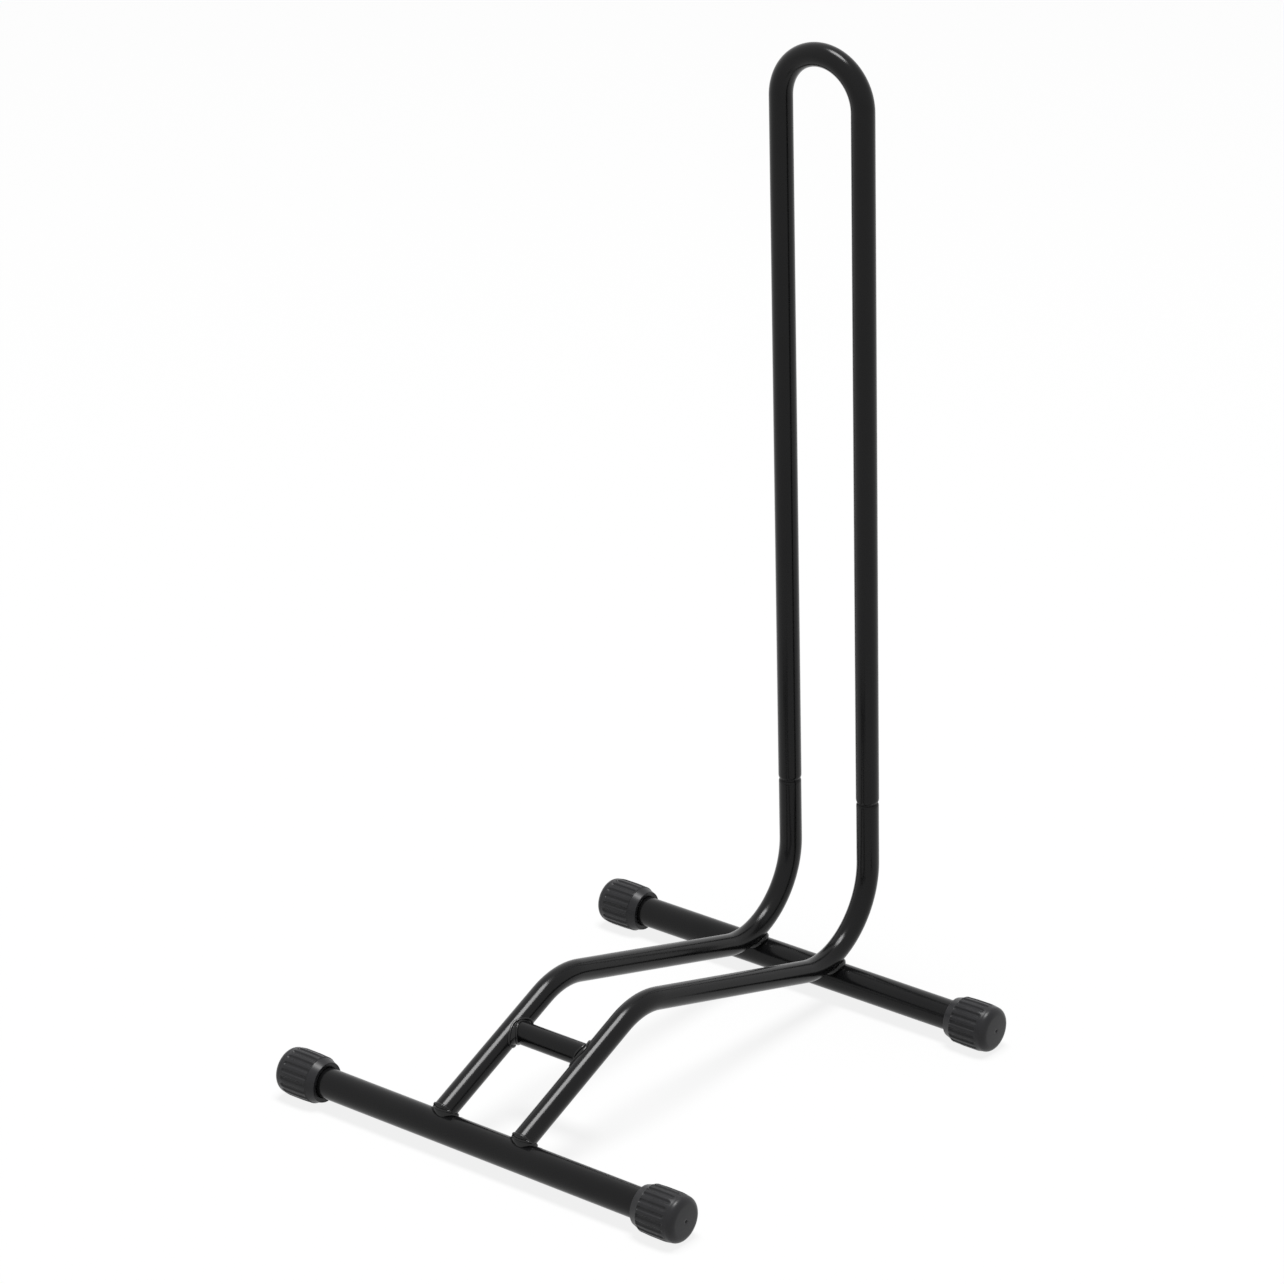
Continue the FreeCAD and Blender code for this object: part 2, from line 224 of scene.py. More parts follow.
def ring(centre, heading, axis, radius):
    """One ring of points round a heading. axis is at right angles to it and marks the first point."""
    up = heading.cross(axis).normalized()
    turn = 2 * math.pi / RING_COUNT
    return [centre + (axis * math.cos(k * turn) + up * math.sin(k * turn)) * radius
            for k in range(RING_COUNT)]


def skin(name, rings, closed=False, wrap=True):
    """A smooth mesh through a stack of rings.

    A closed stack joins its last ring to its first. wrap joins each ring's last point to its first.
    """
    bm = bmesh.new()
    rows = [[bm.verts.new(point) for point in points] for points in rings]
    pairs = list(zip(rows, rows[1:]))
    if closed:
        pairs.append((rows[-1], rows[0]))
    for low, high in pairs:
        for k in range(len(low) if wrap else len(low) - 1):
            after = (k + 1) % len(low)
            bm.faces.new((low[k], low[after], high[after], high[k])).smooth = True
    bmesh.ops.recalc_face_normals(bm, faces=bm.faces)
    return put_mesh(name, bm)


print(f"{RING_COUNT} points a ring: facets of {1000 * 2 * math.pi * RAIL_RADIUS / RING_COUNT:.2f} mm on a rail")

# %% A tube and its rims
RIM_SUPPORT = 0.0008
RIM_ROOM = 0.0012
BORE_ROOM = 0.001
ROLL_STEPS = 7


def tube_skin(name, route, start_rim, end_rim, outside, bore):
    """A tube along a route. A rim is a list of (distance beyond that end, radius), from side to bore."""
    def ring_at(distance, radius):
        held = min(max(distance, 0), route.length)
        point, heading = route.at(held)
        return ring(point + heading * (distance - held), heading, route.bend_axis, radius)

    first_out, last_out = -start_rim[0][0], route.length + end_rim[0][0]
    # a ring close to each rim keeps the rim's turned shading from spreading along the tube
    stations = [d for d in route.stations() if first_out + RIM_ROOM < d < last_out - RIM_ROOM]
    stations = [first_out + RIM_SUPPORT] + stations + [last_out - RIM_SUPPORT]
    rings = [ring_at(-beyond, radius) for beyond, radius in reversed(start_rim)]
    rings += [ring_at(distance, outside) for distance in stations]
    rings += [ring_at(route.length + beyond, radius) for beyond, radius in end_rim]
    first_in, last_in = -start_rim[-1][0], route.length + end_rim[-1][0]
    inner = [d for d in route.stations() if first_in + BORE_ROOM < d < last_in - BORE_ROOM]
    rings += [ring_at(distance, bore) for distance in reversed(inner)]
    return skin(name, rings, closed=True)


def rolled(height, outer, inner):
    """A rim that rolls in from radius outer, height below the end, to radius inner at the end."""
    found = []
    for k in range(ROLL_STEPS + 1):
        turn = math.pi / 2 * k / ROLL_STEPS
        found.append((-height * (1 - math.sin(turn)), inner + (outer - inner) * math.cos(turn)))
    return found


def sawn(radius, bore):
    """The rim of a tube cut square, with its burr taken off."""
    return [(-0.0004, radius), (-0.0001, radius - 0.0001), (0.0, radius - 0.0004),
            (0.0, bore + 0.0001), (-0.0003, bore)]


print(f"a rolled rim has {ROLL_STEPS + 1} rings")

# %% [markdown]
# ## The rails
#
# Each rail is one length of tube: it climbs from the front tube, bends over the crest, falls to the heel,
# turns up by more than a right angle and ends in a leg. On top, the tube is drawn in: a rounded shoulder,
# a short neck, then the spigot that the hoop slips over. The dark groove at the joint in the photograph
# is this neck, under the hoop's rolled rim, so both are modelled and not painted.

# %% Both rails
SHOULDER_ROLL = 0.0024
SHOULDER_DROP = 0.0013
NECK_RADIUS = 0.00830
SPIGOT_RADIUS = 0.0085
SPIGOT_BORE = 0.0071
RAIL_BORE = RAIL_RADIUS - RAIL_WALL

spigot_rim = [(height - SHOULDER_DROP, radius)
              for height, radius in rolled(SHOULDER_ROLL, RAIL_RADIUS, NECK_RADIUS)]
# from the neck up the spigot, over its rounded tip and down the bore
spigot_rim += [(0.0003, NECK_RADIUS), (0.0006, SPIGOT_RADIUS), (SPIGOT_LENGTH - 0.0022, SPIGOT_RADIUS),
               (SPIGOT_LENGTH - 0.0018, SPIGOT_RADIUS - 0.0001),
               (SPIGOT_LENGTH - 0.0002, SPIGOT_RADIUS - 0.0009),
               (SPIGOT_LENGTH, SPIGOT_RADIUS - 0.0011), (SPIGOT_LENGTH, SPIGOT_BORE + 0.0001),
               (SPIGOT_LENGTH - 0.0003, SPIGOT_BORE), (0.0, SPIGOT_BORE)]

coated = []
for side, word in ((-1, "left"), (1, "right")):
    route = TubeRoute(rail_start + CLIMB_DIR * MELTED_BACK + ACROSS * side * RAIL_X, CLIMB_DIR, ACROSS)
    route.straight(CLIMB_RUN - MELTED_BACK).bend(CREST_BEND_RADIUS, -(CLIMB + FALL)).straight(FALL_RUN)
    route.bend(HEEL_BEND_RADIUS, math.pi / 2 + FALL + LEAN).straight(LEG_RUN)
    foot_rim = sawn(RAIL_RADIUS, RAIL_BORE)
    rail = tube_skin(f"dressed_{word}_rail", route, foot_rim, spigot_rim, RAIL_RADIUS, RAIL_BORE)
    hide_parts(f"{word}_rail")
    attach(rail, "base")
    coated.append(rail)
    gap = (route.end - leg_top - ACROSS * side * RAIL_X).length
    print(f"{rail.name}: {route.length:.4f} m of tube, ends {gap * 1000:.4f} mm from the leg top")

# %% [markdown]
# ## The hoop
#
# The hoop is one tube bent over a former to half a turn, with two long parallel legs. It is drawn from
# the left rim to the right rim, about an axis square to its own plane, which leans back with the legs.
# Its rims are rolled in over 3 mm, which gives the soft edge seen above the dark groove.

# %% One hoop
HOOP_BORE = HOOP_RADIUS - HOOP_WALL
HOOP_RIM_ROLL = 0.0030
HOOP_RIM_RADIUS = 0.00870
HOOP_STRAIGHT = (HOOP_HIGH.z - leg_top.z) / LEG_DIR.z
HOOP_STRAIGHT -= RAIL_X + HOOP_RADIUS / LEG_DIR.z
hoop_rim = rolled(HOOP_RIM_ROLL, HOOP_RADIUS, HOOP_RIM_RADIUS)
hoop_rim += [(0.0, HOOP_RIM_RADIUS - 0.0001), (-0.0003, HOOP_BORE)]

route = TubeRoute(leg_top - ACROSS * RAIL_X, LEG_DIR, LEG_BACK)
route.straight(HOOP_STRAIGHT).bend(RAIL_X, math.pi).straight(HOOP_STRAIGHT)
hoop = tube_skin("dressed_hoop", route, hoop_rim, hoop_rim, HOOP_RADIUS, HOOP_BORE)
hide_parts("hoop")
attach(hoop, "hoop")
coated.append(hoop)
print(f"hoop: legs {HOOP_STRAIGHT:.4f} m, ends at x = {route.end.x:.4f}, wanted {RAIL_X:.4f}")

# %% [markdown]
# ## The straight tubes
#
# The two cross tubes and the tie are plain tube. The cross tubes stop inside their caps, and the tie is
# coped to the rails, so its ends are let into them here, where the weld beads hide the seam. They go
# through the same skin as the bent tubes, so that all the paint lies on the same kind of surface.

# %% Cross tubes and tie
STRAIGHT_TUBES = {
    "front_cross_tube": (FRONT_AXIS, CROSS_RADIUS, CROSS_HALF, CROSS_WALL),
    "rear_cross_tube": (REAR_AXIS, CROSS_RADIUS, CROSS_HALF, CROSS_WALL),
    "tie_tube": (TIE_AXIS, TIE_RADIUS, TIE_HALF, CROSS_WALL),
}
for node, (axis, radius, half, wall) in STRAIGHT_TUBES.items():
    route = TubeRoute(Vector((-half, axis[0], axis[1])), ACROSS, Vector((0, 0, 1)))
    route.straight(2 * half)
    rim = sawn(radius, radius - wall)
    tube = tube_skin(f"dressed_{node}", route, rim, rim, radius, radius - wall)
    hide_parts(node)
    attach(tube, "base")
    coated.append(tube)
    print(f"{tube.name}: {2 * half:.4f} m long, {2 * radius:.4f} m across")

# %% [markdown]
# ## Weld beads
#
# A weld is a row of small puddles of metal, each frozen against the one before. A plain round fillet
# looks cast, so a bead here is a thin tube along the seam whose thickness swells and shrinks once a
# puddle, with each crest bowed forwards. The seams are worked out from the tubes. Round the tie's ends
# two beads edge a web of metal that sags into the corner. At the rails' lower ends a skirt of metal
# closes the cut tube, with beads on it and under it. Each heel has one ring of bead under it.

# %% A rippled bead along any line
PUDDLE = 0.0017
RIPPLE = 0.075
BOW = 0.5
BEAD_POINTS = 20
END_THICKNESS = 0.35
END_GROWTH = 2.2


def bead(name, centres, outward, radius, closed=True, puddle=PUDDLE, count=BEAD_POINTS):
    """A rippled bead. outward gives, for each centre, the direction that faces the welder."""
    rings = []
    travelled = 0.0
    total = len(centres)
    for k, centre in enumerate(centres):
        before = centres[k - 1] if closed or k else centre
        after = centres[(k + 1) % total] if closed or k + 1 < total else centre
        heading = (after - before).normalized()
        out = (outward[k] - heading * outward[k].dot(heading)).normalized()
        side = heading.cross(out)
        if k:
            travelled += (centre - centres[k - 1]).length
        from_end = min(k, total - 1 - k) / (total / 2)
        taper = 1.0 if closed else min(1, END_THICKNESS + END_GROWTH * from_end)
        points = []
        for j in range(count):
            angle = 2 * math.pi * j / count
            bow = travelled + BOW * radius * math.cos(angle)
            swell = 1 + RIPPLE * abs(math.cos(math.pi * bow / puddle)) - RIPPLE / 2
            reach = radius * taper * swell
            points.append(centre + (out * math.cos(angle) + side * math.sin(angle)) * reach)
        rings.append(points)
    return skin(name, rings, closed)


def join(name, pieces):
    """Several meshes as one piece."""
    bm = bmesh.new()
    for piece in pieces:
        bm.from_mesh(piece.data)
        bpy.data.objects.remove(piece)
    return put_mesh(name, bm)


print(f"a puddle every {1000 * PUDDLE} mm")

# %% Seams, and metal that sags into a corner
SEAM_POINTS = 150
WELDER_SIDE = math.radians(165)
# weld metal lies this far proud of a tube, so that the two surfaces don't flicker
PROUD = 0.0001


def tie_seam(side, offset, spread=0.0):
    """Where the tie tube, grown a little, enters a rail: points, and directions away from the tie.

    spread grows it further towards the front and the top, where the welder leaves more metal.
    """
    foot = climb_foot + ACROSS * side * RAIL_X
    points, outward = [], []
    for k in range(SEAM_POINTS):
        turn = 2 * math.pi * k / SEAM_POINTS
        away = Vector((0, math.cos(turn), math.sin(turn)))
        grow = offset + spread * max(0.0, math.cos(turn - WELDER_SIDE)) ** 2
        spot = Vector((0, TIE_AXIS[0], TIE_AXIS[1])) + away * (TIE_RADIUS + grow)
        height = (spot - foot).dot(CLIMB_UP)
        reach = math.sqrt(max((RAIL_RADIUS + grow) ** 2 - height ** 2, 0.0))
        points.append(Vector((side * (RAIL_X - reach), spot.y, spot.z)))
        outward.append(away - ACROSS * side)
    return points, outward


def sag(first, corner, last, share, pull):
    """A point at a share of the way from first to last, pulled towards the corner between them."""
    flat = first * (1 - share) + last * share
    bent = first * (1 - share) ** 2 + corner * (2 * share * (1 - share)) + last * share ** 2
    return flat * (1 - pull) + bent * pull


print(f"{SEAM_POINTS} points a seam")

# %% Beads round the ends of the tie
TIE_TOE = 0.0014
TIE_WRAP = 0.35
RAIL_TOE = 0.0032
SPREAD = 0.0055
TOE_RADIUS = 0.00095
OUTER_THICKNESS = 1.15
WEB_STEPS = 10
WEB_PULL = 0.55


def toe_lines(side):
    """The toe on the tie with the directions away from it, and the toe on the rail with its own."""
    foot = climb_foot + ACROSS * side * RAIL_X
    seam, outward = tie_seam(side, RAIL_TOE, SPREAD)
    on_tie, tie_out, on_rail = [], [], []
    for k, spot in enumerate(seam):
        turn = 2 * math.pi * k / SEAM_POINTS
        away = Vector((0, math.cos(turn), math.sin(turn)))
        # the toe on the tie is nearly a plain ring, and the toe on the rail wraps round it
        level = side * (RAIL_X - (RAIL_RADIUS + TIE_TOE) * (1 - TIE_WRAP * math.sin(turn) ** 2))
        on_tie.append(Vector((level, TIE_AXIS[0], TIE_AXIS[1])) + away * (TIE_RADIUS + PROUD))
        tie_out.append(away)
        # drop the outer toe on to the rail's own surface
        from_axis = spot - foot
        from_axis -= CLIMB_DIR * from_axis.dot(CLIMB_DIR)
        on_rail.append(spot + from_axis.normalized() * (RAIL_RADIUS + PROUD - from_axis.length))
    return on_tie, tie_out, on_rail, outward


beads = []
for side, word in ((-1, "left"), (1, "right")):
    on_tie, tie_out, on_rail, rail_out = toe_lines(side)
    corners = tie_seam(side, 0.0)[0]
    web = skin("web", [[sag(first, corner, last, k / WEB_STEPS, WEB_PULL)
                        for first, corner, last in zip(on_tie, corners, on_rail)]
                       for k in range(WEB_STEPS + 1)])
    inner = bead("inner_toe", [p + away * PROUD for p, away in zip(on_tie, tie_out)], tie_out, TOE_RADIUS)
    outer = bead("outer_toe", on_rail, rail_out, TOE_RADIUS * OUTER_THICKNESS)
    weld = join(f"dressed_weld_tie_{word}", [web, inner, outer])
    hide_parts(f"weld_tie_{word}")
    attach(weld, "base")
    beads.append(weld)
    print(f"{weld.name}: {len(weld.data.vertices)} points")

# %% The skirt of metal that closes a rail's lower end
SKIRT_STEPS = 24
SKIRT_POINTS = 90
SKIRT_START, SKIRT_SWEEP = -25, 230  # degrees round the rail, from its side over its top
RAIL_LAP = 0.0009
TOE_SIDE = 0.0165
TOE_NARROWING = 0.25
TOE_FRONT, TOE_BACK, TOE_UNDER = -0.0046, 0.0052, 0.0072
TOE_CURVE = 1.5
CORNER_SHARE = 0.97
CORNER_RISE, CORNER_FRONT_RISE = 0.0020, 0.0050
FRONT_PULL, SIDE_PULL = 0.25, 0.35
RIDGES = 2.0
RIDGE_HEIGHT = 0.0011
RIDGE_CURVE = 0.6
RIDGE_FADE = 0.4
WANDER, WANDER_WAVES = 0.03, 11


def off_rail(turn):
    """The direction away from a climbing rail's axis, at an angle from ACROSS over its top."""
    return ACROSS * math.cos(turn) + CLIMB_UP * math.sin(turn)


def on_tube(x, y):
    """The point of the front tube's upper side at an x and at a y measured from its axis."""
    return Vector((x, FRONT_AXIS[0] + y, FRONT_AXIS[1] + math.sqrt(CROSS_RADIUS ** 2 - y ** 2) + PROUD))


def skirt_point(end, side, turn, share):
    """A point at an angle round the rail, and at a share of the way from the rail to the front tube."""
    away = off_rail(turn)
    front = max(math.sin(turn), 0.0)
    if 0 <= turn <= math.pi:
        reach = TOE_SIDE * math.cos(turn) * (1 - TOE_NARROWING * front)
        toe = on_tube(side * RAIL_X + reach, TOE_BACK + (TOE_FRONT - TOE_BACK) * front ** TOE_CURVE)
    else:
        reach = TOE_SIDE * math.copysign(1, math.cos(turn)) * math.cos(turn) ** 2
        toe = on_tube(side * RAIL_X + reach, TOE_UNDER)
    top = end + CLIMB_DIR * RAIL_LAP + away * (RAIL_RADIUS + PROUD)
    corner = end + away * RAIL_RADIUS * CORNER_SHARE
    corner.z = min(corner.z, toe.z + CORNER_RISE + CORNER_FRONT_RISE * front)
    point = sag(top, corner, toe, share, FRONT_PULL + SIDE_PULL * (1 - front))
    wave = abs(math.sin(math.pi * (RIDGES * share + WANDER * math.sin(WANDER_WAVES * turn))))
    height = RIDGE_HEIGHT * wave * front ** RIDGE_CURVE * (1 - RIDGE_FADE * share)
    return point + (away * 0.5 - CLIMB_DIR).normalized() * height


print(f"the skirt reaches {1000 * TOE_SIDE} mm to each side of its rail")

# %% Beads that close the lower ends of the rails
UNDER_POINTS = 80
UNDER_START, UNDER_SWEEP = math.radians(186), math.radians(168)
UNDER_RADIUS = 0.0023
SLIDE_TRIES = 14
LIPS = ((3, 26, 66), (12, 20, 60))  # row of the skirt, first point, point after the last
LIP_RADIUS = 0.0012
LIP_PUDDLE = 0.0024
LIP_POINTS = 16


def under_seam(end):
    """Where the rail's underside meets the front tube: points, and directions out of the corner."""
    points, outward = [], []
    for k in range(UNDER_POINTS):
        away = off_rail(UNDER_START + UNDER_SWEEP * k / (UNDER_POINTS - 1))
        # slide along the rail until the point lies on the front tube's side
        slide = 0.0
        for _ in range(SLIDE_TRIES):
            spot = end + away * RAIL_RADIUS + CLIMB_DIR * slide
            slide -= math.hypot(spot.y - FRONT_AXIS[0], spot.z - FRONT_AXIS[1]) - CROSS_RADIUS
        points.append(spot)
        outward.append(away + Vector((0, 1, 0)))
    return points, outward


for side, word in ((-1, "left"), (1, "right")):
    end = rail_start + CLIMB_DIR * MELTED_BACK + ACROSS * side * RAIL_X
    turns = [math.radians(SKIRT_START + SKIRT_SWEEP * j / SKIRT_POINTS) for j in range(SKIRT_POINTS + 1)]
    rings = [[skirt_point(end, side, turn, k / SKIRT_STEPS) for turn in turns]
             for k in range(SKIRT_STEPS + 1)]
    pieces = [skin("skirt", rings, wrap=False),
              bead("under", *under_seam(end), UNDER_RADIUS, closed=False)]
    for row, first, last in LIPS:
        spots = rings[row][first:last]
        facing = [(spot - end).normalized() - CLIMB_DIR for spot in spots]
        pieces.append(bead("lip", spots, facing, LIP_RADIUS, False, LIP_PUDDLE, LIP_POINTS))
    weld = join(f"dressed_weld_front_{word}", pieces)
    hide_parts(f"weld_front_{word}")
    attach(weld, "base")
    beads.append(weld)
    print(f"{weld.name}: {len(weld.data.vertices)} points")

# %% Beads between the heels and the rear tube
HEEL_BEAD_RADIUS = 0.0027
HEEL_PUDDLE = 0.0021
BEAD_GAP = 0.0031
CORE_SHARE = 0.45
CORE_THICKNESS = 0.8
HEEL_OUTSIDE = HEEL_BEND_RADIUS + RAIL_RADIUS
rear_centre = Vector((0, REAR_AXIS[0], REAR_AXIS[1]))
touch_dir = (rear_centre - heel_centre).normalized()
touch_side = ACROSS.cross(touch_dir)
half_wide = math.sqrt(2 * RAIL_RADIUS * BEAD_GAP)
half_long = math.sqrt(BEAD_GAP / (0.5 / CROSS_RADIUS + 0.5 / HEEL_OUTSIDE))
for side, word in ((-1, "left"), (1, "right")):
    touch = heel_centre + touch_dir * HEEL_OUTSIDE + ACROSS * side * RAIL_X
    points, outward = [], []
    for k in range(SEAM_POINTS):
        turn = 2 * math.pi * k / SEAM_POINTS
        wide, long = half_wide * math.cos(turn), half_long * math.sin(turn)
        # the middle of the wedge between the rail above and the tube below
        above = wide ** 2 / (2 * RAIL_RADIUS) + long ** 2 / (2 * HEEL_OUTSIDE)
        below = long ** 2 / (2 * CROSS_RADIUS)
        points.append(touch + ACROSS * wide + touch_side * long + touch_dir * (below - above) / 2)
        outward.append(ACROSS * math.cos(turn) + touch_side * math.sin(turn))
    ring_bead = bead("ring_bead", points, outward, HEEL_BEAD_RADIUS, puddle=HEEL_PUDDLE)
    inside = [p * CORE_SHARE + touch * (1 - CORE_SHARE) for p in points]
    core = bead("core", inside, outward, HEEL_BEAD_RADIUS * CORE_THICKNESS)
    weld = join(f"dressed_weld_rear_{word}", [ring_bead, core])
    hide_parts(f"weld_rear_{word}")
    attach(weld, "base")
    beads.append(weld)
    print(f"{weld.name}: ring {2 * half_wide * 1000:.1f} x {2 * half_long * 1000:.1f} mm")

# %% [markdown]
# ## The ribbed end caps
#
# The caps are moulded in satin plastic. Each one is a cup with 20 wide ribs, a low collar at its mouth
# and a nearly flat end with a tiny moulding dimple. Cutting 20 flutes with booleans leaves messy shading.
# A cap is really one turned shape whose radius dips at each flute, so it is built as a grid of heights
# and angles, and the dip is worked out for each point. Extra rows lie where the flutes end.

# %% Cap sizes, read from the frame where it has them
CAP_LOW, CAP_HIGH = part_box("front_left_cap")
CAP_RADIUS = (CAP_HIGH.z - CAP_LOW.z) / 2
CAP_LENGTH = CAP_HIGH.x - CAP_LOW.x
COLLAR_LENGTH = 0.0073
COLLAR_START = CAP_LENGTH - COLLAR_LENGTH
COLLAR_STEP = 0.0007
COLLAR_TAPER = 0.0020
MOUTH_DEPTH = 0.0003
MOUTH_LIP = 0.0006
EDGE_RADIUS = 0.0065
CROWN_RISE = 0.0003
SHOULDER_STEP = 0.0008
SHOULDER_END = 0.0125
SHOULDER_CURVE = 1.6
BACK_TAPER_START = 0.0240
BACK_TAPER = 0.0004
DIMPLE_RADIUS = 0.0013
FLUTE_COUNT = 20
FLUTE_TOOL = 0.0020
FLUTE_DEPTH = 0.0012
FLUTE_END = 0.0085
FLUTE_SOFTNESS = 0.0001
FLUTE_INNER_SHARE = 0.8  # of the cap's radius: nothing is cut nearer to the axis
RIBS_FROM = 0.004
RIB_MARGIN = 0.0002
FACE_ROWS, EDGE_ROWS, SIDE_ROWS = 10, 18, 40
COLUMNS = FLUTE_COUNT * 18
print(f"cap {2 * CAP_RADIUS:.4f} m across, {CAP_LENGTH:.4f} m long")

# %% The plain turned outline of a cap: (distance from the closed end, radius)


def eased(share):
    """A share from 0 to 1 that starts and ends gently."""
    share = min(max(share, 0.0), 1.0)
    return share * share * (3 - 2 * share)


def side_radius(depth_along):
    """The radius along the ribs: it grows over the shoulder, stays, and shrinks towards the collar."""
    shoulder = (SHOULDER_END - depth_along) / (SHOULDER_END - EDGE_RADIUS)
    back = (depth_along - BACK_TAPER_START) / (COLLAR_START - BACK_TAPER_START)
    shrunk = SHOULDER_STEP * min(max(shoulder, 0.0), 1.0) ** SHOULDER_CURVE
    return CAP_RADIUS - shrunk - BACK_TAPER * eased(back)


def cap_outline():
    """The outside of the cap from its dimple to the tube, before the flutes are cut."""
    rows = [(0.0012, 0.00002), (0.0011, DIMPLE_RADIUS * 0.6), (0.0006, DIMPLE_RADIUS * 0.85),
            (0.0001, DIMPLE_RADIUS), (0.00002, DIMPLE_RADIUS * 1.15)]
    # the face, which is slightly crowned
    face_start = DIMPLE_RADIUS * 1.3
    face_end = CAP_RADIUS - SHOULDER_STEP - EDGE_RADIUS
    for k in range(1, FACE_ROWS + 1):
        reach = face_start + (face_end - face_start) * k / FACE_ROWS
        rows.append((CROWN_RISE * (reach / face_end) ** 2, reach))
    # the round edge, which starts at the slope that the face ends with
    slope = 2 * CROWN_RISE / face_end
    for k in range(1, EDGE_ROWS + 1):
        angle = slope + (math.pi / 2 - slope) * k / EDGE_ROWS
        rows.append((CROWN_RISE + (EDGE_RADIUS - CROWN_RISE) * (1 - math.cos(angle)),
                     face_end + EDGE_RADIUS * math.sin(angle)))
    # the ribbed side
    for k in range(1, SIDE_ROWS + 1):
        depth_along = EDGE_RADIUS + (COLLAR_START - 0.0004 - EDGE_RADIUS) * k / SIDE_ROWS
        rows.append((depth_along, side_radius(depth_along)))
    # the step down to the collar, and the collar
    top = rows[-1][1]
    collar = top - COLLAR_STEP
    mouth = collar - COLLAR_TAPER
    rows += [(COLLAR_START - 0.0002, top - 0.00005), (COLLAR_START - 0.00005, top - 0.0002),
             (COLLAR_START, top - 0.0004), (COLLAR_START + 0.0001, collar + 0.0001),
             (COLLAR_START + 0.0003, collar), (CAP_LENGTH - 0.0005, mouth),
             (CAP_LENGTH - 0.0002, mouth - 0.0001), (CAP_LENGTH - 0.00005, mouth - 0.0003),
             (CAP_LENGTH, mouth - 0.0005)]
    # the lip of the mouth, and its shallow face down to the tube
    lip = mouth - MOUTH_LIP
    face = CAP_LENGTH - MOUTH_DEPTH
    rows += [(CAP_LENGTH, lip), (CAP_LENGTH - 0.0001, lip - 0.0002),
             (face, lip - 0.0005), (face, lip - 0.0008), (face, CROSS_RADIUS + 0.0006),
             (face - 0.0002, CROSS_RADIUS + 0.0003), (face - 0.0012, CROSS_RADIUS + 0.00005)]
    return rows


def flute_dip(depth_along, radius, aside):
    """How deep a flute is at a point: depth_along from the closed end, aside round the cap, in metres."""
    if radius <= CAP_RADIUS * FLUTE_INNER_SHARE:
        return 0.0
    run_out = max(0.0, FLUTE_END + FLUTE_TOOL - depth_along)
    from_line = math.hypot(aside, run_out)
    cut = math.sqrt(max(FLUTE_TOOL ** 2 - from_line ** 2, 0.0)) - (FLUTE_TOOL - FLUTE_DEPTH)
    return (cut + math.sqrt(cut ** 2 + FLUTE_SOFTNESS ** 2)) / 2


print(f"{len(cap_outline())} rows and {COLUMNS} columns a cap")

# %% Four caps
FLUTE_PHASES = {"front": 7.0, "rear": -1.5}  # degrees
FLUTE_STEP = 360 / FLUTE_COUNT
caps = []
for end, (axis_y, axis_z) in (("front", FRONT_AXIS), ("rear", REAR_AXIS)):
    for side, word in ((-1, "left"), (1, "right")):
        node = f"{end}_{word}_cap"
        low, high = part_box(node)
        closed_x = low.x if side < 0 else high.x
        rings = []
        for depth_along, radius in cap_outline():
            in_ribs = RIBS_FROM < depth_along < COLLAR_START - RIB_MARGIN
            points = []
            for column in range(COLUMNS):
                angle = 360 * column / COLUMNS
                off = (angle - FLUTE_PHASES[end] + FLUTE_STEP / 2) % FLUTE_STEP - FLUTE_STEP / 2
                here = radius
                if in_ribs:
                    here -= flute_dip(depth_along, radius, math.radians(off) * CAP_RADIUS)
                turn = math.radians(angle)
                points.append(Vector((closed_x - side * depth_along, axis_y - here * math.cos(turn),
                                      axis_z + here * math.sin(turn))))
            rings.append(points)
        cap = skin(f"dressed_{node}", rings)
        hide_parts(node)
        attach(cap, "base")
        caps.append(cap)
print(f"{len(caps)} caps, {len(caps[0].data.polygons)} faces each")

# %% [markdown]
# ## Effects shared by the finishes
#
# Powder coat, weld and plastic all need two things: a fine relief, and a little unevenness of colour and
# gloss. Each is a node group with its own inputs, so one recipe serves every finish at its own scale.
# The relief uses Noise textures on object coordinates, in metres, which don't depend on a UV map.

# %% Node helpers


def new_group(name, inputs, outputs):
    """An empty shader group. inputs is a list of (name, default); outputs a list of (name, type)."""
    group = bpy.data.node_groups.new(name, "ShaderNodeTree")
    for label, default in inputs:
        made = group.interface.new_socket(name=label, in_out="INPUT", socket_type="NodeSocketFloat")
        made.default_value = default
    for label, kind in outputs:
        group.interface.new_socket(name=label, in_out="OUTPUT", socket_type=kind)
    start = group.nodes.new("NodeGroupInput")
    end = group.nodes.new("NodeGroupOutput")
    return group, start, end


def add(tree, kind, **settings):
    """A node with some of its settings."""
    node = tree.nodes.new(kind)
    for label, value in settings.items():
        setattr(node, label, value)
    return node


def noise_of(tree, place, size, detail):
    """A Noise texture on object coordinates. size is a socket that gives its scale in metres."""
    scale = add(tree, "ShaderNodeMath", operation="DIVIDE")
    scale.inputs[0].default_value = 1.0
    tree.links.new(size, scale.inputs[1])
    noise = add(tree, "ShaderNodeTexNoise")
    noise.inputs["Detail"].default_value = detail
    tree.links.new(place.outputs["Object"], noise.inputs["Vector"])
    tree.links.new(scale.outputs[0], noise.inputs["Scale"])
    return noise


